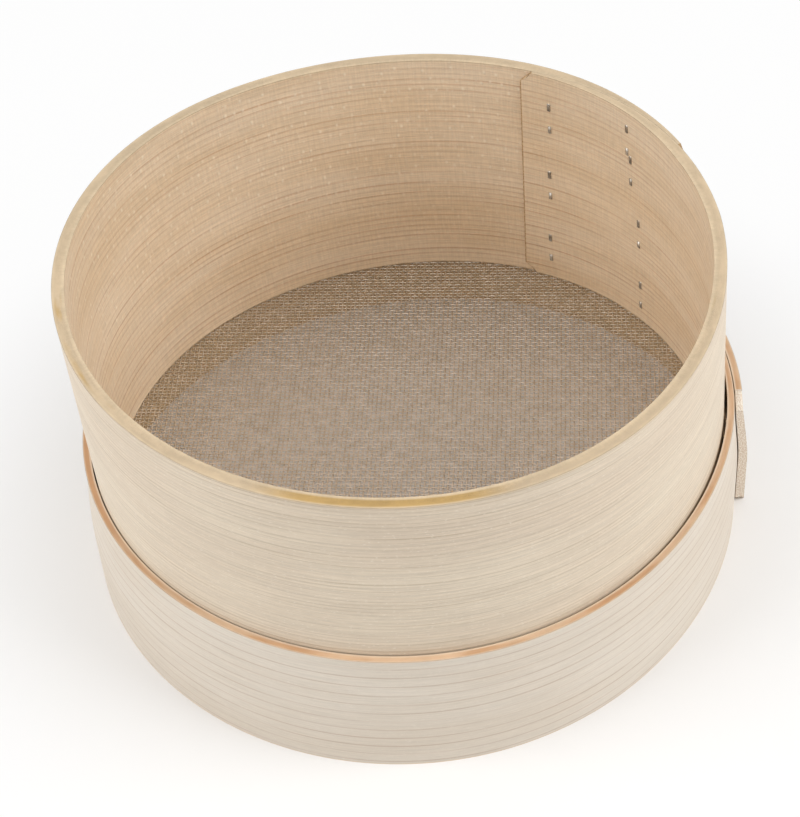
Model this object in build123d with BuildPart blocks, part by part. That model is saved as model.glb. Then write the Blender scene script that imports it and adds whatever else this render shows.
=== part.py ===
from build123d import *
from math import cos, degrees, radians, sin
import os

# Tamis drum sieve: a drum bent from one softwood strip, a woven wire cloth drawn over
# its lower edge, and a second bent strip pressed on outside to hold the cloth.
# Millimetres, +Z up. The origin is on the drum's axis, on the table.
# The front of the sieve faces -Y, and azimuths are counted from +X towards +Y.

# Driving dimensions
drum_diameter = 210
drum_strip_width = 93.2
drum_wall = 4
drum_lap_length = 72
drum_seam_azimuth = 61.3
drum_corner_clip = 4.2

band_strip_width = 50
band_wall = 3
band_lap_length = 66
band_free_end_azimuth = -5.5
band_corner_clip = 5
band_fit_gap = 1.3
band_shift_left = 0.2
band_shift_back = 0.45
foot_depth = 24

strip_tip = 0.8
lap_gap = 0.15
band_lap_gap = 0.4
arris = 0.35

wire_diameter = 0.36
turned_edge_width = 5.5
turned_edge_clearance = 0.05
net_pitch = 11.1
net_bar = 1.3
net_hem = 1.6

staple_crown = 13.2
staple_wire_width = 1.1
staple_wire_thickness = 0.5
staple_clinch = 3.2
staple_bend_radius = 0.5
staple_edge_gap = 0.4

# Sizes that follow from them
cloth_thickness = 2 * wire_diameter
drum_outer_radius = drum_diameter / 2
drum_inner_radius = drum_outer_radius - drum_wall
drum_bottom = foot_depth + cloth_thickness
rim_height = drum_bottom + drum_strip_width
drum_lap_step = strip_tip + lap_gap
drum_lap_angle = degrees(drum_lap_length / drum_outer_radius)
drum_free_end_azimuth = drum_seam_azimuth - drum_lap_angle

band_inner_radius = drum_outer_radius + band_fit_gap
band_outer_radius = band_inner_radius + band_wall
band_lap_step = strip_tip + lap_gap
band_lap_angle = degrees(band_lap_length / band_outer_radius)
band_seam_azimuth = band_free_end_azimuth + band_lap_angle
band_centre = (-band_shift_left, band_shift_back)

# How far a strip takes to move in or out by one step, as a share of its lap
blend_share = 0.45
# Places along a lap, from the inner end to the outer, and up the free part of the strip
seam_staple_lap_share = 0.117
seam_staple_height_shares = (0.026, 0.437, 0.851)
lap_staple_lap_shares = (0.682, 0.677, 0.6285, 0.607)
lap_staple_height_shares = (0, 0.396, 0.76, 0.932)
band_staple_lap_share = 0.8
band_staple_height_shares = (0.167, 0.917)


def polar(radius, azimuth, centre=(0, 0)):
    """The point at a radius and an azimuth in degrees round a centre."""
    x = centre[0] + radius * cos(radians(azimuth))
    y = centre[1] + radius * sin(radians(azimuth))
    return (x, y)


def easy_bend(radius_1, azimuth_1, radius_2, azimuth_2, centre=(0, 0)):
    """A flat arc between two radii, through the mean of both at half way."""
    middle = polar((radius_1 + radius_2) / 2, (azimuth_1 + azimuth_2) / 2, centre)
    start = polar(radius_1, azimuth_1, centre)
    end = polar(radius_2, azimuth_2, centre)
    return ThreePointArc(start, middle, end)


os.makedirs("parts", exist_ok=True)

# The drum is one strip of softwood, soaked, bent round a form and lapped on itself.
# Both ends are shaved to a thin tip, so the lap is hardly thicker than the strip.
# Outside it is a true circle: the strip steps in where it runs under its free end.
seam = drum_seam_azimuth
free_end = drum_free_end_azimuth
blend_end = free_end - blend_share * drum_lap_angle
lap_face_radius = drum_inner_radius - drum_lap_step
with BuildPart() as drum_hoop:
    with BuildSketch(Plane.XY.offset(drum_bottom)):
        with BuildLine():
            CenterArc((0, 0), drum_outer_radius, free_end, blend_end + 360 - free_end)
            easy_bend(drum_outer_radius, blend_end, drum_outer_radius - drum_lap_step, free_end)
            easy_bend(drum_outer_radius - drum_lap_step, free_end, drum_inner_radius - lap_gap, seam)
            Line(polar(drum_inner_radius - lap_gap, seam), polar(lap_face_radius, seam))
            CenterArc((0, 0), lap_face_radius, free_end, seam - free_end)
            easy_bend(lap_face_radius, free_end, drum_inner_radius, blend_end)
            CenterArc((0, 0), drum_inner_radius, seam, blend_end + 360 - seam)
            easy_bend(drum_inner_radius, seam, drum_outer_radius - strip_tip, free_end)
            Line(polar(drum_outer_radius - strip_tip, free_end), polar(drum_outer_radius, free_end))
        make_face()
    extrude(amount=drum_strip_width)
    # Both tips have their corners clipped, so that they do not catch
    for level in (drum_bottom, rim_height):
        for tip_radius, azimuth in (
            (lap_face_radius + strip_tip / 2, seam),
            (drum_outer_radius - strip_tip / 2, free_end),
        ):
            corner = (*polar(tip_radius, azimuth), level)
            chamfer(drum_hoop.edges().sort_by_distance(corner)[0], length=drum_corner_clip)
    # The arrises of the rim and of the lower edge are broken with sandpaper
    for ring in (drum_hoop.faces().sort_by(Axis.Z)[-1], drum_hoop.faces().sort_by(Axis.Z)[0]):
        chamfer(ring.edges(), length=arris)
drum_hoop.part.label = "drum_hoop"
export_step(drum_hoop.part, "parts/drum_hoop.step")

# The outer band is a lower strip, pulled tight round the drum's foot over the cloth.
# Inside it is a true circle. Its free end is cut square at full thickness and laps
# outside, so the strip steps out where it passes over its own thin inner tip.
seam = band_seam_azimuth
free_end = band_free_end_azimuth
blend_end = seam + blend_share * band_lap_angle
free_end_radius = band_outer_radius + band_lap_gap
with BuildPart() as outer_band:
    with BuildSketch():
        with BuildLine():
            CenterArc(band_centre, band_outer_radius, blend_end, free_end + 360 - blend_end)
            easy_bend(band_outer_radius, free_end, band_inner_radius + strip_tip, seam, band_centre)
            Line(
                polar(band_inner_radius + strip_tip, seam, band_centre),
                polar(band_inner_radius, seam, band_centre),
            )
            CenterArc(band_centre, band_inner_radius, blend_end, seam + 360 - blend_end)
            easy_bend(
                band_inner_radius, blend_end, band_inner_radius + band_lap_step, seam, band_centre
            )
            easy_bend(
                band_inner_radius + band_lap_step, seam, free_end_radius, free_end, band_centre
            )
            Line(
                polar(free_end_radius, free_end, band_centre),
                polar(free_end_radius + band_wall, free_end, band_centre),
            )
            easy_bend(
                free_end_radius + band_wall,
                free_end,
                band_outer_radius + band_lap_step,
                seam,
                band_centre,
            )
            easy_bend(
                band_outer_radius + band_lap_step, seam, band_outer_radius, blend_end, band_centre
            )
        make_face()
    extrude(amount=band_strip_width)
    for level in (0, band_strip_width):
        corner = (*polar(free_end_radius + band_wall / 2, free_end, band_centre), level)
        chamfer(outer_band.edges().sort_by_distance(corner)[0], length=band_corner_clip)
    for ring in (outer_band.faces().sort_by(Axis.Z)[-1], outer_band.faces().sort_by(Axis.Z)[0]):
        chamfer(ring.edges(), length=arris)
outer_band.part.label = "outer_band"
export_step(outer_band.part, "parts/outer_band.step")

# The wire cloth lies flat under the drum's lower edge. It is drawn as a coarser net of
# flat bars, cut off at the drum's wall, with a solid hem where the two hoops grip it.
cloth_radius = drum_outer_radius + turned_edge_clearance + cloth_thickness
net_reach = drum_inner_radius - net_hem
net_count = 2 * int(net_reach / net_pitch) + 2
with BuildSketch(Plane.XY.offset(foot_depth)) as net_bars:
    with GridLocations(net_pitch, 0, net_count, 1):
        Rectangle(net_bar, 2 * net_reach)
    with GridLocations(0, net_pitch, 1, net_count):
        Rectangle(2 * net_reach, net_bar)
    Circle(net_reach, mode=Mode.INTERSECT)
with BuildPart() as wire_cloth:
    with BuildSketch(Plane.XY.offset(foot_depth)) as net:
        Circle(cloth_radius)
        Circle(net_reach, mode=Mode.SUBTRACT)
        add(net_bars.sketch)
    extrude(amount=cloth_thickness)
wire_cloth.part.label = "wire_cloth"
export_step(wire_cloth.part, "parts/wire_cloth.step")
print("gaps in the net", len(net.sketch.face().inner_wires()))

# The same cloth's edge is turned up round the drum and held there by the band.
with BuildPart() as cloth_turned_edge:
    with BuildSketch(Plane.XY.offset(drum_bottom)):
        Circle(cloth_radius)
        Circle(drum_outer_radius + turned_edge_clearance, mode=Mode.SUBTRACT)
    extrude(amount=turned_edge_width)
cloth_turned_edge.part.label = "cloth_turned_edge"
export_step(cloth_turned_edge.part, "parts/cloth_turned_edge.step")


def make_staple(name, inside_point, outside_point, height):
    """A flat wire staple driven through a lap from outside, its tips clinched inside.

    The two points are on the inner and the outer face of the lap, in plan.
    """
    run = Vector(*outside_point) - Vector(*inside_point)
    along = run.normalized()
    side = Vector(along.Y, -along.X)
    inner = -staple_wire_thickness / 2
    outer = run.length + staple_wire_thickness / 2
    half = staple_crown / 2
    path = [
        (inner, staple_clinch - half),
        (inner, -half),
        (outer, -half),
        (outer, half),
        (inner, half),
        (inner, half - staple_clinch),
    ]
    with BuildPart() as staple:
        with BuildSketch(Plane((*inside_point, height), x_dir=along, z_dir=side)):
            with BuildLine():
                FilletPolyline(*path, radius=staple_bend_radius)
            trace(line_width=staple_wire_thickness)
        extrude(amount=staple_wire_width / 2, both=True)
    staple.part.label = name
    export_step(staple.part, f"parts/{name}.step")


def staple_level(share, strip_width, covered_width=0):
    """The height of a staple's middle up a strip, clear of its edges and its covered foot."""
    lowest = covered_width + staple_crown / 2 + staple_edge_gap
    highest = strip_width - staple_crown / 2 - staple_edge_gap
    return lowest + share * (highest - lowest)


# Staples through the drum's lap: a column by the seam and one by the free end.
# The top two by the free end stand side by side where their heights overlap.
for number, share in enumerate(seam_staple_height_shares, start=1):
    azimuth = drum_seam_azimuth - seam_staple_lap_share * drum_lap_angle
    make_staple(
        f"seam_staple_{number}",
        polar(lap_face_radius, azimuth),
        polar(drum_outer_radius, azimuth),
        drum_bottom + staple_level(share, drum_strip_width, turned_edge_width),
    )
for number, share in enumerate(lap_staple_height_shares, start=1):
    azimuth = drum_seam_azimuth - lap_staple_lap_shares[number - 1] * drum_lap_angle
    make_staple(
        f"lap_staple_{number}",
        polar(lap_face_radius, azimuth),
        polar(drum_outer_radius, azimuth),
        drum_bottom + staple_level(share, drum_strip_width, turned_edge_width),
    )
# Two staples through the band's lap, on its right side, clinched between the hoops
azimuth = band_seam_azimuth - band_staple_lap_share * band_lap_angle
band_lap_outside = (
    (1 - band_staple_lap_share) * (band_outer_radius + band_lap_step)
    + band_staple_lap_share * (free_end_radius + band_wall)
)
for number, share in enumerate(band_staple_height_shares, start=1):
    make_staple(
        f"band_staple_{number}",
        polar(band_inner_radius, azimuth, band_centre),
        polar(band_lap_outside, azimuth, band_centre),
        staple_level(share, band_strip_width),
    )
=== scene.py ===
from functools import partial
from math import atan2, ceil, cos, degrees, hypot, pi, radians, sin

import bmesh
import bpy
from mathutils import Matrix, Vector, noise


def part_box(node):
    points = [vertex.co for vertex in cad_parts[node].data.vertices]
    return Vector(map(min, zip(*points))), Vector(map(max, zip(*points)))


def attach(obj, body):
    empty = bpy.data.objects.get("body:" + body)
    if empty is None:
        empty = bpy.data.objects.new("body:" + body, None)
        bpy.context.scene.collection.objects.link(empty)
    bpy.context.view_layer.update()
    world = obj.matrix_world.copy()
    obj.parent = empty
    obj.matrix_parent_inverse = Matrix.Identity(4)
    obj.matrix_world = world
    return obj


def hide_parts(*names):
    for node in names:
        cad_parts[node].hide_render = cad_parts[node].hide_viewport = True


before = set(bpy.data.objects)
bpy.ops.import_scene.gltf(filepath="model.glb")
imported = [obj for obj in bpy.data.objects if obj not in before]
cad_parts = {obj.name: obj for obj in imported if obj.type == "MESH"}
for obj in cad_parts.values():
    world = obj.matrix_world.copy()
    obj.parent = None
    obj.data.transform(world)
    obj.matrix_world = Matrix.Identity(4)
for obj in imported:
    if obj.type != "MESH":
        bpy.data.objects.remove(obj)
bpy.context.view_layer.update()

scene = bpy.context.scene
mm = 0.001

# The camera stands in front of the sieve and looks down on it at 45 degrees, through a
# long lens, with the horizon tipped a little.
photo_long_side = 817
focal_pixels = 2118
view_distance = 499.5 * mm
view_height = 549.0 * mm
view_pitch = radians(45.06)
view_yaw = radians(-0.346)
view_roll = radians(-4.623)

camera_data = bpy.data.cameras.new("camera")
camera_data.lens = camera_data.sensor_width * focal_pixels / photo_long_side
camera_data.clip_start = 10 * mm
camera = bpy.data.objects.new("camera", camera_data)
scene.collection.objects.link(camera)
scene.camera = camera
looks = Vector((sin(view_yaw) * cos(view_pitch), cos(view_yaw) * cos(view_pitch), -sin(view_pitch)))
level = looks.cross(Vector((0, 0, 1))).normalized()
upright = level.cross(looks)
view_right = cos(view_roll) * level + sin(view_roll) * upright
view_up = cos(view_roll) * upright - sin(view_roll) * level
camera.matrix_world = Matrix.Translation((0, -view_distance, view_height)) @ Matrix(
    (view_right, view_up, -looks)
).transposed().to_4x4()

# The drum: one strip of quarter-sawn softwood, 4 mm thick, soaked, bent round a form and
# lapped on itself. Both ends are shaved thin and their corners clipped, and sandpaper
# breaks its long edges. Azimuths are in degrees, from +X towards +Y.
drum_low, drum_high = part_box("drum_hoop")
drum_radius = (drum_high.x - drum_low.x) / 2
drum_width = drum_high.z - drum_low.z
drum_wall = 4 * mm
drum_inside = drum_radius - drum_wall
drum_clip = 4.2 * mm
drum_free_end = 22.01
drum_seam = 62.2
sanded_edge = 0.4 * mm

# The strip steps in by its own tip and a gap, over a share of the lap beyond its free end
strip_tip = 0.8 * mm
lap_gap = 0.05 * mm
lap_step = strip_tip + lap_gap
step_share = 0.45
step_turn = step_share * (drum_seam - drum_free_end)

# The strip's course: azimuth, and the radii of its inner and outer face
drum_course = [
    (drum_free_end, drum_radius - strip_tip, drum_radius),
    (drum_seam, drum_inside, drum_radius),
    (drum_free_end - step_turn + 360, drum_inside, drum_radius),
    (drum_free_end + 360, drum_inside - lap_step, drum_radius - lap_step),
    (drum_seam + 360, drum_inside - lap_step, drum_inside - lap_step + strip_tip),
]

# The inner end of the strip wasn't sawn square: its top edge is shorter than its lower
# edge by so many degrees, which fade out over a reach in degrees.
seam_slant = 1.2
slant_reach = 10

# Bent wood springs back unevenly, so no hoop stays a true circle. The lobes are shares of
# the radius in two, three and four waves round the drum, and rim and foot also drift apart.
foot_lobes = Vector((0.0070, 0.0214, -0.0041, 0.0104, 0, 0))
rim_lobes = Vector((0.0015, 0.0012, -0.0098, 0.0096, -0.0054, 0))
foot_drift = Vector((0.80, 0.81, 0)) * mm
rim_drift = Vector((-1.99, -1.90, 0)) * mm
rim_lift = Vector((-0.32, 0.91, 0)) * mm

# How fine the mesh of a strip is, along it and up it
step_degrees = 1.0
strip_rows = 12


def between(course, azimuth):
    """The radii of both faces of a strip at an azimuth of its course."""
    for (a0, in0, out0), (a1, in1, out1) in zip(course, course[1:]):
        if azimuth <= a1:
            break
    share = min(max((azimuth - a0) / (a1 - a0), 0), 1)
    return in0 + share * (in1 - in0), out0 + share * (out1 - out0)


def swell(outwards, rise):
    """How far the lobes push the hoop out in a direction, at a share of its height."""
    around = atan2(outwards.y, outwards.x)
    waves = [wave(count * around) for count in (2, 3, 4) for wave in (cos, sin)]
    return 1 + foot_lobes.lerp(rim_lobes, rise).dot(Vector(waves))


def sprung(point):
    """Where a point of the true round sieve lies on the one that has sprung back."""
    rise = min(max((point.z - drum_low.z) / drum_width, 0), 1)
    outwards = Vector((point.x, point.y, 0))
    lift = rise * rim_lift.dot(outwards) / drum_radius
    drift = foot_drift.lerp(rim_drift, rise)
    return outwards * swell(outwards, rise) + drift + Vector((0, 0, point.z + lift))


def polar(radius, azimuth, height):
    """The point at a radius and an azimuth, at a height."""
    return Vector((radius * cos(radians(azimuth)), radius * sin(radians(azimuth)), height))


def sharp(bm):
    """The edges of a mesh where two faces meet at a corner."""
    corner = radians(30)
    return [edge for edge in bm.edges if edge.calc_face_angle(0) > corner]


def piece_of(bm, name):
    """A smooth-shaded object made from a finished bmesh, which is freed."""
    bmesh.ops.recalc_face_normals(bm, faces=bm.faces[:])
    for face in bm.faces:
        face.smooth = True
    mesh = bpy.data.meshes.new(name)
    bm.to_mesh(mesh)
    bm.free()
    piece = bpy.data.objects.new(name, mesh)
    scene.collection.objects.link(piece)
    return piece


def bent_strip(name, course, width, bottom, wall, clips, place=polar, clipped=(0, 1), slant=0):
    """A flat strip with clipped corners and sanded edges, bent to its course in its place.

    The clips are those at its foot and at its top, on the ends named in 'clipped'. The
    vertices keep the place that they had in the flat strip in the attribute 'flat': along
    the grain, across the wall from the inner face, and up the strip.
    """
    start, stop = course[0][0], course[-1][0]
    length = radians(stop - start) * course[1][2]
    bm = bmesh.new()
    flat = bm.verts.layers.float_vector.new("flat")
    steps = ceil((stop - start) / step_degrees)
    bmesh.ops.create_grid(bm, x_segments=steps, y_segments=strip_rows, size=0.5)
    bmesh.ops.scale(bm, vec=(length, width, 1), verts=bm.verts)
    bmesh.ops.rotate(bm, matrix=Matrix.Rotation(pi / 2, 3, "X"), verts=bm.verts)
    bmesh.ops.translate(bm, vec=(length / 2, 0, width / 2), verts=bm.verts)
    # A line of vertices close to each edge keeps the faces of the strip flat in the light
    cuts = [(Vector((0, 0, end * width)), Vector((0, 0, 1 - 2 * end)), 0) for end in (0, 1)]
    cuts += [(Vector((end * length, 0, 0)), Vector((1 - 2 * end, 0, 0)), 0) for end in (0, 1)]
    for end in clipped:
        for top in (0, 1):
            corner = Vector((end * length, 0, top * width))
            inwards = Vector((1 - 2 * end, 0, 1 - 2 * top)).normalized()
            cuts.append((corner + inwards * clips[top] / 2**0.5, inwards, 1))
    for foot, inwards, clears in cuts:
        for depth in (0, 2 * sanded_edge):
            bmesh.ops.bisect_plane(
                bm,
                geom=bm.verts[:] + bm.edges[:] + bm.faces[:],
                plane_co=foot + inwards * depth,
                plane_no=inwards,
                clear_inner=bool(clears and not depth),
            )
    wall_face = bmesh.ops.extrude_face_region(bm, geom=bm.faces[:])["geom"]
    wall_face = [v for v in wall_face if isinstance(v, bmesh.types.BMVert)]
    bmesh.ops.translate(bm, vec=(0, wall, 0), verts=wall_face)
    bmesh.ops.bevel(
        bm, geom=sharp(bm), offset=sanded_edge, affect="EDGES", segments=3, profile=0.5, material=-1
    )
    for vertex in bm.verts:
        vertex[flat] = vertex.co
        along, across, up = vertex.co
        azimuth = start + (stop - start) * along / length
        inner, outer = between(course, azimuth)
        radius = inner + (outer - inner) * across / wall
        azimuth -= slant * (up / width - 0.5) * max(0, 1 - (stop - azimuth) / slant_reach)
        vertex.co = sprung(place(radius, azimuth, bottom + up))
    return piece_of(bm, name)


drum = bent_strip(
    "bent_drum",
    drum_course,
    drum_width,
    drum_low.z,
    drum_wall,
    (drum_clip, drum_clip),
    slant=seam_slant,
)
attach(drum, "root")
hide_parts("drum_hoop")


def linear(colour):
    """The linear RGBA of an sRGB hex colour."""
    parts = [int(colour[i : i + 2], 16) / 255 for i in (1, 3, 5)]
    return [*(c / 12.92 if c <= 0.04045 else ((c + 0.055) / 1.055) ** 2.4 for c in parts), 1]


def add(tree, kind, *inputs, out=0, **settings):
    """Add a shader node with its settings, and return one of its outputs.

    The inputs that its settings leave in use are linked or set in their order. None keeps
    a default, and a hex colour is turned to linear.
    """
    node = tree.nodes.new("ShaderNode" + kind)
    for name, value in settings.items():
        setattr(node, name, value)
    for socket, value in zip([s for s in node.inputs if s.enabled], inputs):
        if isinstance(value, bpy.types.NodeSocket):
            tree.links.new(value, socket)
        elif value is not None:
            socket.default_value = linear(value) if isinstance(value, str) else value
    return [s for s in node.outputs if s.enabled][out]


smooth = {"interpolation_type": "SMOOTHSTEP"}
in_colour = {"data_type": "RGBA"}


# In the wood's functions, 'node' adds a node to the material, and a place in the flat strip
# is in millimetres: along, across and up it. Every noise is divided by the size of its
# grains in these three directions.
def growth_lines(node, place, up, outside, look):
    """How dark the late wood of each year is, from 0 to 1.

    The lines wander along the strip, crowd together in some years, and fade here and there.
    """
    wander = node("TexNoise", node("VectorMath", place, (220, 40, 120), operation="DIVIDE"), 1, 1)
    wander = node("Math", wander, look["wander"], up, operation="MULTIPLY_ADD")
    crowding = node("Math", wander, look["crowd_span"], operation="DIVIDE")
    crowding = node("TexNoise", crowding, 1, 1, noise_dimensions="1D")
    rate = node("MapRange", outside, 0, 1, 1 / look["rings"][0], 1 / look["rings"][1])
    years = node("Math", wander, rate, operation="MULTIPLY")
    years = node("Math", crowding, look["crowding"], years, operation="MULTIPLY_ADD")
    season = node("Math", years, operation="FRACT")
    year = node("TexWhiteNoise", node("Math", years, operation="FLOOR"), noise_dimensions="1D")
    late = node("MapRange", season, look["late_from"], 0.9, **smooth)
    late = node("Math", late, node("MapRange", season, 1.0, 0.9, **smooth), operation="MULTIPLY")
    strong = node("MapRange", year, 0.1, 1.0, look["faintest"], 1.0, **smooth)
    fading = node("TexNoise", node("VectorMath", place, (45, 40, 2.5), operation="DIVIDE"), 1, 2)
    fading = node("MapRange", fading, 0.3, 0.65, 0.25, 1.0, **smooth)
    return node("Math", node("Math", late, strong, operation="MULTIPLY"), fading, operation="MULTIPLY")


def both_faces(node, place, outside, line, look):
    """The colour of the inner and the outer face, each with its own tint, tone and lines."""
    tone = node("TexNoise", node("VectorMath", place, (70, 8, 16), operation="DIVIDE"), 1, 3)
    tone = node("MapRange", tone, 0.3, 0.7, **smooth)
    early_in = node("Mix", tone, *look["inside"], **in_colour)
    early_out = node("Mix", tone, *look["outside"], **in_colour)
    early = node("Mix", outside, early_in, early_out, **in_colour)
    late = node("Mix", outside, look["inside_late"], look["outside_late"], **in_colour)
    shown = node("MapRange", outside, 0, 1, look["inside_lines"], look["outside_lines"])
    return node("Mix", node("Math", line, shown, operation="MULTIPLY"), early, late, **in_colour)


def fibres(node, place, outside, look):
    """The relief of the fibres, and how they shade the wood.

    On the inner face, bending has opened hairlines across them.
    """
    fibre = node("TexNoise", node("VectorMath", place, (30, 3, 0.5), operation="DIVIDE"), 1, 2)
    short = node("TexNoise", node("VectorMath", place, (4.5, 2, 0.3), operation="DIVIDE"), 1, 3, 0.6)
    fibre = node("Math", fibre, short, operation="ADD")
    shade = node("MapRange", fibre, 0.65, 1.35, 1 - look["fibres"], 1 + look["fibres"], **smooth)
    hair = node("TexNoise", node("VectorMath", place, (0.7, 3, 9), operation="DIVIDE"), 1, 2)
    hair = node("MapRange", hair, 0.35, 0.65, -look["hairs"], look["hairs"], **smooth)
    hair = node("Math", hair, node("MapRange", outside, 0, 1, 1, 0), operation="MULTIPLY")
    return fibre, node("Math", shade, hair, operation="ADD")


# A roller pressed slanting rows of small dents into the drum's inner face, so that it could bend. In
# millimetres: how far apart they lie along and up the strip, and half their size. The dents are also
# painted paler, a painted highlight where their rims would catch the light.
dimple_pitch = 4.6
dimple_rise = 4.2
dimple_lean = 0.5
dimple_jitter = 0.55
dimple_size = (0.9, 1.15)
dimple_highlight = 0.45


def roller_dents(node, along, across, up, length):
    """How deep the roller's dents are, from 0 to 1.

    They stop short of the lap's thin end, and are faint near the foot.
    """
    row = node("Math", up, dimple_rise, operation="DIVIDE")
    column = node("Math", along, dimple_pitch, operation="DIVIDE")
    column = node("Math", row, dimple_lean, column, operation="MULTIPLY_ADD")
    cell = node("CombineXYZ", column, row)
    centre = node("TexVoronoi", cell, 1, 0, 0.5, 2, dimple_jitter, out=2, voronoi_dimensions="2D")
    strength = node("TexWhiteNoise", centre, noise_dimensions="2D")
    reach = node("VectorMath", cell, centre, operation="SUBTRACT")
    sideways, endways = (node("SeparateXYZ", reach, out=axis) for axis in range(2))
    sideways = node("Math", endways, -dimple_lean, sideways, operation="MULTIPLY_ADD")
    sideways = node("Math", sideways, dimple_pitch / dimple_size[0], operation="MULTIPLY")
    endways = node("Math", endways, dimple_rise / dimple_size[1], operation="MULTIPLY")
    reach = node("VectorMath", node("CombineXYZ", sideways, endways), operation="LENGTH")
    dent = node("MapRange", reach, 1.0, 0.0, **smooth)
    for share in (
        node("MapRange", strength, 0.1, 0.9, 0.05, 1.0, **smooth),
        node("MapRange", up, 15, 60, 0.4, 1.0, **smooth),
        node("MapRange", across, 0.3, 0.1, **smooth),
        node("MapRange", along, length - 95, length - 110, **smooth),
    ):
        dent = node("Math", dent, share, operation="MULTIPLY")
    return dent


def sanded_edges(node, place, along, across, wall, look):
    """The colour of the long edges: arrises painted paler as a painted highlight, and honey-brown
    stretches between them.

    One such stretch is always there, at the length along the strip that the look names.
    """
    pale, honey, arris_highlight = look["edges"]
    patchy = node("TexNoise", node("VectorMath", place, (24, 5, 5), operation="DIVIDE"), 1, 3)
    patchy = node("MapRange", patchy, *look["patches"], **smooth)
    nearby = node("Math", along, look["honey_at"], operation="SUBTRACT")
    nearby = node("MapRange", node("Math", nearby, operation="ABSOLUTE"), 42, 22, **smooth)
    patchy = node("Math", patchy, nearby, operation="MAXIMUM")
    middle = node("Math", node("Math", across, 0.55 * wall, operation="SUBTRACT"), operation="ABSOLUTE")
    middle = node("MapRange", middle, 0.45 * wall, 0.2 * wall, **smooth)
    return node("Mix", middle, arris_highlight, node("Mix", patchy, pale, honey, **in_colour), **in_colour)


def cut_ends(node, along, up, width, length, clips):
    """Where the saw crossed the fibres, from 0 to 1: at the ends and the clipped corners."""
    reach_in = node("Math", along, node("Math", length, along, operation="SUBTRACT"), operation="MINIMUM")
    top_cut = node("Math", reach_in, node("Math", width, up, operation="SUBTRACT"), operation="ADD")
    top_cut = node("Math", top_cut, clips[1], operation="SUBTRACT")
    foot_cut = node("Math", reach_in, up, operation="ADD")
    foot_cut = node("Math", foot_cut, clips[0], operation="SUBTRACT")
    end = node("Math", reach_in, node("Math", top_cut, foot_cut, operation="MINIMUM"), operation="MINIMUM")
    return node("MapRange", end, 0.55, 0.15, **smooth)


def sawn_wood(name, width, wall, length, look):
    """Bent softwood, sawn on the quarter: growth lines along the strip, over fine fibres.

    Late wood shows as thin brown lines, wider or narrower with each year. The long edges
    and the ends, where the saw crossed the fibres, have colours of their own.
    """
    material = bpy.data.materials.new(name)
    material.use_nodes = True
    node = partial(add, material.node_tree)
    width, wall, length = width / mm, wall / mm, length / mm
    flat = node("Attribute", attribute_name="flat", out=1)
    place = node("VectorMath", flat, 1 / mm, operation="SCALE")
    along, across, up = (node("SeparateXYZ", place, out=axis) for axis in range(3))
    outside = node("MapRange", across, 0.2 * wall, 0.8 * wall, **smooth)

    # Lines and fibres, with short pale flecks painted on as glints of the fibres, a painted highlight. The
    # relief is counted in shares of its full height: it sinks in late wood, in dents and in torn ends.
    line = growth_lines(node, place, up, outside, look)
    wood = both_faces(node, place, outside, line, look)
    fibre, shade = fibres(node, place, outside, look)
    wood = node("VectorMath", wood, shade, operation="SCALE")
    fibre_glint = node("TexNoise", node("VectorMath", place, (1.5, 2, 0.4), operation="DIVIDE"), 1, 1)
    fibre_glint = node("MapRange", fibre_glint, 0.63, 0.72, 0.0, look["fibre_glints"], **smooth)
    wood = node("Mix", fibre_glint, wood, "#f4ece0", **in_colour)
    height = node("Math", line, -0.5, operation="MULTIPLY")
    height = node("Math", fibre, 0.25, height, operation="MULTIPLY_ADD")

    if look["dimples"]:
        dent = roller_dents(node, along, across, up, length)
        # The dents are painted paler: a painted highlight on top of their real relief.
        pale = node("Math", dent, dimple_highlight, operation="MULTIPLY")
        wood = node("Mix", pale, wood, "#fff3de", **in_colour)
        height = node("Math", dent, -1.5, height, operation="MULTIPLY_ADD")

    # The long edges, as deep as they were sanded
    top_edge = node("MapRange", up, width - 0.45, width - 0.12, **smooth)
    foot_edge = node("MapRange", up, 0.45, 0.12, **smooth)
    edge = node("Math", top_edge, foot_edge, operation="MAXIMUM")
    edge_wood = sanded_edges(node, place, along, across, wall, look)
    edge_wood = node("VectorMath", edge_wood, shade, operation="SCALE")
    wood = node("Mix", edge, wood, edge_wood, **in_colour)

    # The ends and the clipped corners, rough where the saw tore the ends of the fibres
    end = cut_ends(node, along, up, width, length, look["clips"])
    torn = node("TexNoise", node("VectorMath", place, (0.5, 0.45, 0.6), operation="DIVIDE"), 1, 2)
    torn = node("MapRange", torn, 0.35, 0.65, **smooth)
    wood = node("Mix", end, wood, node("Mix", torn, *look["ends"], **in_colour), **in_colour)
    torn = node("Math", end, torn, operation="MULTIPLY")
    height = node("Math", torn, -1.2, height, operation="MULTIPLY_ADD")

    shader = material.node_tree.nodes["Principled BSDF"]
    material.node_tree.links.new(wood, shader.inputs["Base Color"])
    shader.inputs["Roughness"].default_value = look["roughness"]
    shader.inputs["IOR"].default_value = 1.45
    bump = node("Bump", 1.0, look["relief"], None, height)
    material.node_tree.links.new(bump, shader.inputs["Normal"])
    return material


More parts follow.
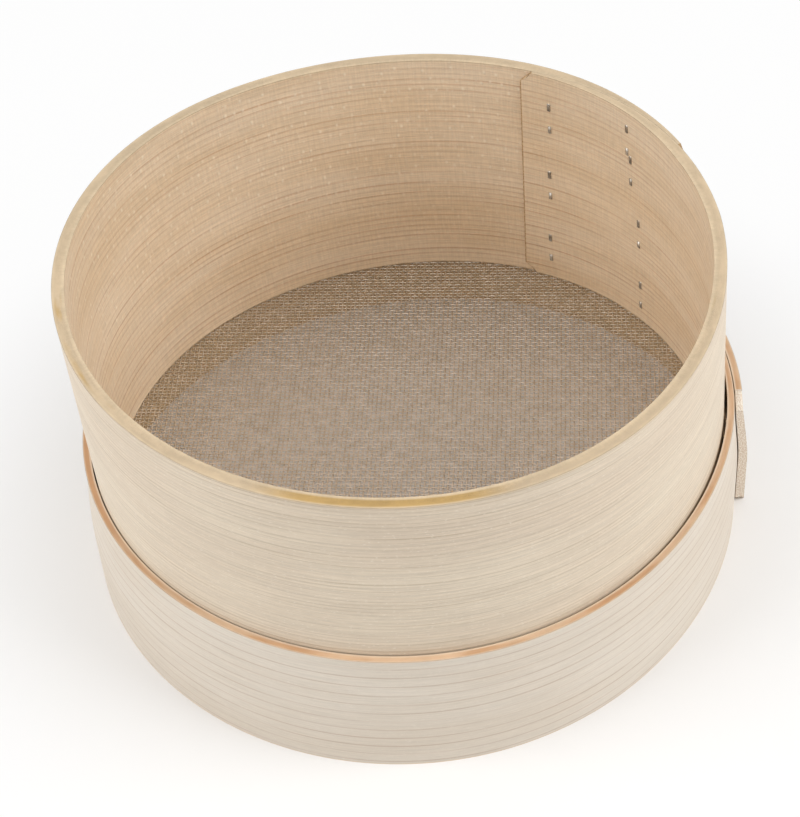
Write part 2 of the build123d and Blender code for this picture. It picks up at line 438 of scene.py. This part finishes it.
# Lengths in a look are in millimetres, apart from the height of the relief. A pair of rings
# is the width of one year on the inner and on the outer face.
drum_look = {
    "rings": (2.3, 1.6),
    "wander": 1.5,
    "crowd_span": 25,
    "crowding": 0.9,
    "late_from": 0.5,
    "faintest": 0.35,
    "inside": ("#e0c8a8", "#e7d3b8"),
    "inside_late": "#ab662b",
    "inside_lines": 0.48,
    "outside": ("#d5c5b0", "#dbcdb8"),
    "outside_late": "#a58a68",
    "outside_lines": 0.5,
    "fibres": 0.1,
    "hairs": 0.035,
    "fibre_glints": 0.4,
    # how strongly the painted glints on the fibres show
    "dimples": True,
    # The edges' colours: pale, honey-brown, and the painted highlight on the arrises
    "edges": ("#c7b192", "#ba985e", "#cdb899"),
    "patches": (0.62, 0.85),
    "honey_at": 447,
    "ends": ("#d6b88e", "#a67b4b"),
    "clips": (drum_clip / mm, drum_clip / mm),
    "roughness": 0.55,
    "relief": 0.08 * mm,
}
drum_length = radians(drum_seam + 360 - drum_free_end) * drum_radius
drum.data.materials.append(sawn_wood("softwood_drum", drum_width, drum_wall, drum_length, drum_look))

# The outer band: a lower strip of the same kind, pulled tight round the drum's foot over
# the cloth. Its free end is cut square and left rough, and its growth lines lie wide apart.
band_low, band_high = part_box("outer_band")
band_width = band_high.z - band_low.z
band_wall = 3 * mm
band_inside = 106.3 * mm
band_outside = band_inside + band_wall
band_lap_gap = 0.4 * mm
band_free_radius = band_outside + band_lap_gap
band_free_end = -5.5
band_seam = 29.1
band_step_turn = step_share * (band_seam - band_free_end)
band_clip = 5 * mm
band_foot_clip = 1.5 * mm

# It was pressed on from below, so its foot stands out and its top edge, shaved thinner,
# grips the drum, closer on the left than on the right.
band_centre = Vector((-0.2, 0.45, 0)) * mm
band_lean = Vector((0.5, 0, 0)) * mm
band_flare = 0.8 * mm
band_grip = 0.45 * mm
band_shave = 0.2
grip_from = 0.4


def round_the_foot(radius, azimuth, height):
    """The point of the band at a radius, an azimuth and a height, as it was pressed on."""
    rise = min(max((height - grip_from * band_width) / ((1 - grip_from) * band_width), 0), 1)
    rise *= rise * (3 - 2 * rise)
    spread = band_flare * (1 - rise) - band_grip * rise
    spread -= band_shave * rise * (radius - band_inside)
    return polar(radius + spread, azimuth, height) + band_centre + band_lean * rise


band_course = [
    (band_free_end, band_free_radius, band_free_radius + band_wall),
    (band_seam, band_inside + lap_step, band_outside + lap_step),
    (band_seam + band_step_turn, band_inside, band_outside),
    (band_free_end + 360, band_inside, band_outside),
    (band_seam + 360, band_inside, band_inside + strip_tip),
]
band = bent_strip(
    "bent_band",
    band_course,
    band_width,
    band_low.z,
    band_wall,
    (band_foot_clip, band_clip),
    round_the_foot,
    (0,),
)
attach(band, "root")
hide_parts("outer_band")

band_look = {
    "rings": (4.1, 4.1),
    "wander": 2.0,
    "crowd_span": 40,
    "crowding": 0.6,
    "late_from": 0.8,
    "faintest": 0.6,
    # The inner face is painted lighter than the outer one: painted light, standing in for light on a face
    # that is seen only in shade, through the cloth.
    "inside": ("#e4c79d", "#e9cfa9"),
    "inside_late": "#a37a52",
    "inside_lines": 0.8,
    "outside": ("#d5c9b9", "#dad0c2"),
    "outside_late": "#a8866e",
    "outside_lines": 0.6,
    "fibres": 0.06,
    "hairs": 0.0,
    # how strongly the painted glints on the fibres show
    "fibre_glints": 0.15,
    "dimples": False,
    # The edges' colours: pale, honey-brown, and the painted highlight on the arrises
    "edges": ("#d6b594", "#c69a73", "#dfc7ac"),
    "patches": (0.4, 0.65),
    "honey_at": 380,
    "ends": ("#f5ecdf", "#dac6b0"),
    "clips": (band_foot_clip / mm, band_clip / mm),
    "roughness": 0.6,
    "relief": 0.05 * mm,
}
band_length = radians(band_seam + 360 - band_free_end) * band_course[1][2]
band.data.materials.append(sawn_wood("softwood_band", band_width, band_wall, band_length, band_look))

# The wire cloth: plain-woven stainless wire, stretched under the drum. Its edge is turned
# up round the drum's foot, where the band holds it.
cloth_low, cloth_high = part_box("wire_cloth")
_, turned_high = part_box("cloth_turned_edge")
wire = (cloth_high.z - cloth_low.z) / 2
pitch = 1.57 * mm
weave_turn = Matrix.Rotation(radians(-6), 4, "Z")
cloth_level = cloth_low.z + wire
turn_up_radius = cloth_high.x - wire

# The cloth isn't quite tight: its wires wander sideways. The noise that they follow is the
# same in each run only when it is given a seed other than 0.
slack = 0.7 * mm
slack_span = 60 * mm
noise.seed_set(1)

# A three-sided wire as high as the round one is thick, and drawn a little wider, because
# the real weave is too fine to show in the render
wire_reach = wire * 2 / 3
wire_spread = 1.25


def within_drum(point):
    """Whether a point of the flat cloth lies inside the line where its edge turns up."""
    place = Vector((point.x, point.y, 0)) - foot_drift
    return place.length < turn_up_radius * swell(place, 0)


def wire_path(row, crossways):
    """One wire of the weave, over and under the wires that it crosses, its ends turned up."""
    lies = weave_turn @ Matrix.Rotation(crossways * pi / 2, 4, "Z")
    spare = 4
    count = int(turn_up_radius / pitch) + spare
    points = []
    for column in range(-count, count + 1):
        point = lies @ Vector((column * pitch, row * pitch, cloth_level))
        if within_drum(point):
            over = 1 if (row + column) % 2 == crossways else -1
            point += slack * noise.noise_vector(point / slack_span)
            point.z = cloth_level + over * wire / 2
            points.append(point)
    if not points:
        return []
    for end in (0, -1):
        outwards = (lies @ Vector((1 if end else -1, 0, 0))) * wire
        corner = points[end].copy()
        corner.z = cloth_level
        while within_drum(corner):
            corner += outwards
        ends = [corner, Vector((corner.x, corner.y, turned_high.z))]
        points = points + ends if end else ends[::-1] + points
    return points


def woven_wires(name):
    """All the wires of the cloth, as one mesh of three-sided wires."""
    section_data = bpy.data.curves.new("wire_section", "CURVE")
    outline = section_data.splines.new("POLY")
    outline.points.add(2)
    outline.use_cyclic_u = True
    for corner, point in enumerate(outline.points):
        turn = 2 * pi * corner / 3 - pi / 2
        point.co = (wire_spread * wire_reach * cos(turn), wire_reach * sin(turn), 0, 1)
    section = bpy.data.objects.new("wire_section", section_data)
    curve = bpy.data.curves.new(name, "CURVE")
    curve.dimensions = "3D"
    curve.bevel_mode = "OBJECT"
    curve.bevel_object = section
    curve.use_fill_caps = True
    curve.twist_mode = "Z_UP"
    count = int(turn_up_radius / pitch)
    for crossways in (0, 1):
        for row in range(-count, count + 1):
            path = wire_path(row, crossways)
            if path:
                spline = curve.splines.new("POLY")
                spline.points.add(len(path) - 1)
                spline.points.foreach_set("co", [c for p in path for c in (*p, 1)])
    drawn = bpy.data.objects.new(name, curve)
    scene.collection.objects.link(drawn)
    bpy.context.view_layer.update()
    mesh = bpy.data.meshes.new_from_object(drawn.evaluated_get(bpy.context.evaluated_depsgraph_get()))
    for used in (drawn, section):
        bpy.data.objects.remove(used)
    bm = bmesh.new()
    bm.from_mesh(mesh)
    bmesh.ops.remove_doubles(bm, verts=bm.verts, dist=mm / 1000)
    return piece_of(bm, name)


cloth = woven_wires("woven_cloth")
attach(cloth, "root")
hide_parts("wire_cloth", "cloth_turned_edge")


def drawn_wire(name, colour, dark, roughness, grain_size):
    """Drawn steel wire: a dull metal with darker stretches, where dust and oxide cling."""
    material = bpy.data.materials.new(name)
    material.use_nodes = True
    node = partial(add, material.node_tree)
    cling = node("TexNoise", node("TexCoord", out=3), 1 / grain_size, 2)
    cling = node("MapRange", cling, 0.35, 0.65, **smooth)
    shader = material.node_tree.nodes["Principled BSDF"]
    wire_colour = node("Mix", cling, dark, colour, **in_colour)
    material.node_tree.links.new(wire_colour, shader.inputs["Base Color"])
    shader.inputs["Metallic"].default_value = 1
    shader.inputs["Roughness"].default_value = roughness
    return material


# The wire's warm cream colour partly stands in for the wood that the wires reflect: a painted reflection
# over the steel's own colour.
cloth.data.materials.append(drawn_wire("stainless_wire", "#e6dbcd", "#d0c2ae", 0.48, 3 * mm))

# The staples: flat galvanised wire, driven through both laps from outside and clinched
# inwards on the inner face, where only their tips show.
staple_crown = 13.2 * mm
staple_width = 1.1 * mm
staple_thickness = 0.5 * mm
staple_clinch = 3.2 * mm
staple_bend = 0.5 * mm
seam_staple_azimuths = (56.9, 56.4, 55.9)
lap_staple_azimuths = (34.5, 34.7, 36.6, 37.45)
band_staple_azimuth = 1.42
staple_steel = drawn_wire("galvanised_staple", "#d3cfc8", "#a39c91", 0.5, 2.5 * mm)


def driven_staple(node, azimuth, inner, outer, place=polar):
    """A staple through a lap, between the radii of its two faces, where the CAD has it."""
    low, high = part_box(node)
    height = (low.z + high.z) / 2
    half = staple_crown / 2
    inner -= staple_thickness / 2
    outer += staple_thickness / 2
    path = [
        (inner, staple_clinch - half),
        (inner, -half),
        (outer, -half),
        (outer, half),
        (inner, half),
        (inner, half - staple_clinch),
    ]
    bm = bmesh.new()
    line = [bm.verts.new((radius, 0, up)) for radius, up in path]
    edges = [bm.edges.new(pair) for pair in zip(line, line[1:])]
    ribbon = bmesh.ops.extrude_edge_only(bm, edges=edges)["geom"]
    side = [v for v in ribbon if isinstance(v, bmesh.types.BMVert)]
    bmesh.ops.translate(bm, vec=(0, staple_width, 0), verts=side)
    bmesh.ops.translate(bm, vec=(0, -staple_width / 2, 0), verts=bm.verts)
    bmesh.ops.bevel(
        bm, geom=sharp(bm), offset=staple_bend, affect="EDGES", segments=4, profile=0.5, material=-1
    )
    bmesh.ops.recalc_face_normals(bm, faces=bm.faces[:])
    bmesh.ops.solidify(bm, geom=bm.faces[:], thickness=staple_thickness)
    for vertex in bm.verts:
        x, y, up = vertex.co
        vertex.co = sprung(place(hypot(x, y), azimuth + degrees(atan2(y, x)), height + up))
    staple = piece_of(bm, "driven_" + node)
    staple.data.materials.append(staple_steel)
    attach(staple, "root")
    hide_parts(node)


for number, azimuth in enumerate(seam_staple_azimuths, start=1):
    driven_staple(f"seam_staple_{number}", azimuth, drum_inside - lap_step, drum_radius)
for number, azimuth in enumerate(lap_staple_azimuths, start=1):
    driven_staple(f"lap_staple_{number}", azimuth, drum_inside - lap_step, drum_radius)
band_lap_outside = between(band_course, band_staple_azimuth)[1]
for number in (1, 2):
    staple_name = f"band_staple_{number}"
    driven_staple(staple_name, band_staple_azimuth, band_inside, band_lap_outside, round_the_foot)

# Floor and backdrop: a pale floor that keeps a soft shadow round the sieve. The camera and
# mirrors see it fade into a white backdrop, while the light of the room is dimmer.
floor_half = 3
shade_from = 100 * mm
shade_to = 210 * mm
room_strength = 0.42
white = (1, 1, 1, 1)


def seen(node):
    """1 for the rays with which the camera and mirrors see, and 0 for those of the light."""
    camera_ray, glossy_ray, through_ray = (node("LightPath", out=kind) for kind in (0, 3, 6))
    either = node("Math", camera_ray, glossy_ray, operation="MAXIMUM")
    return node("Math", either, through_ray, operation="MAXIMUM")


bm = bmesh.new()
bmesh.ops.create_grid(bm, x_segments=1, y_segments=1, size=floor_half)
floor = piece_of(bm, "floor")
floor_material = bpy.data.materials.new("pale_floor")
floor_material.use_nodes = True
node = partial(add, floor_material.node_tree)
away = node("VectorMath", node("TexCoord", out=3), operation="LENGTH")
fades = node("MapRange", away, shade_from, shade_to, 0.0, 0.9, **smooth)
whitening = node("Math", seen(node), fades, operation="MULTIPLY")
surface = node("MixShader", whitening, node("BsdfDiffuse", "#f0efee"), node("Emission", white, 1.0))
output = floor_material.node_tree.nodes["Material Output"]
floor_material.node_tree.links.new(surface, output.inputs["Surface"])
floor.data.materials.append(floor_material)

world = bpy.data.worlds.new("world")
world.use_nodes = True
node = partial(add, world.node_tree)
room = node("Background", white, room_strength)
surface = node("MixShader", seen(node), room, node("Background", white, 1.0))
output = world.node_tree.nodes["World Output"]
world.node_tree.links.new(surface, output.inputs["Surface"])
scene.world = world

# Light: a soft box on either side and a weaker one overhead, all turned to the sieve
lamp_distance = 1.2
lamp_size = 0.8
for name, azimuth, elevation, power in (
    ("left_box", 197, 37, 7.2),
    ("right_box", -21, 37, 8.2),
    ("top_box", -90, 90, 2.4),
):
    lamp_data = bpy.data.lights.new(name, "AREA")
    lamp_data.shape = "SQUARE"
    lamp_data.size = lamp_size
    lamp_data.energy = power
    lamp = bpy.data.objects.new(name, lamp_data)
    scene.collection.objects.link(lamp)
    rises = radians(elevation)
    stands = polar(lamp_distance * cos(rises), azimuth, lamp_distance * sin(rises))
    turned = (-stands).to_track_quat("-Z", "Y").to_matrix().to_4x4()
    lamp.matrix_world = Matrix.Translation(stands) @ turned

scene.view_settings.view_transform = "Standard"
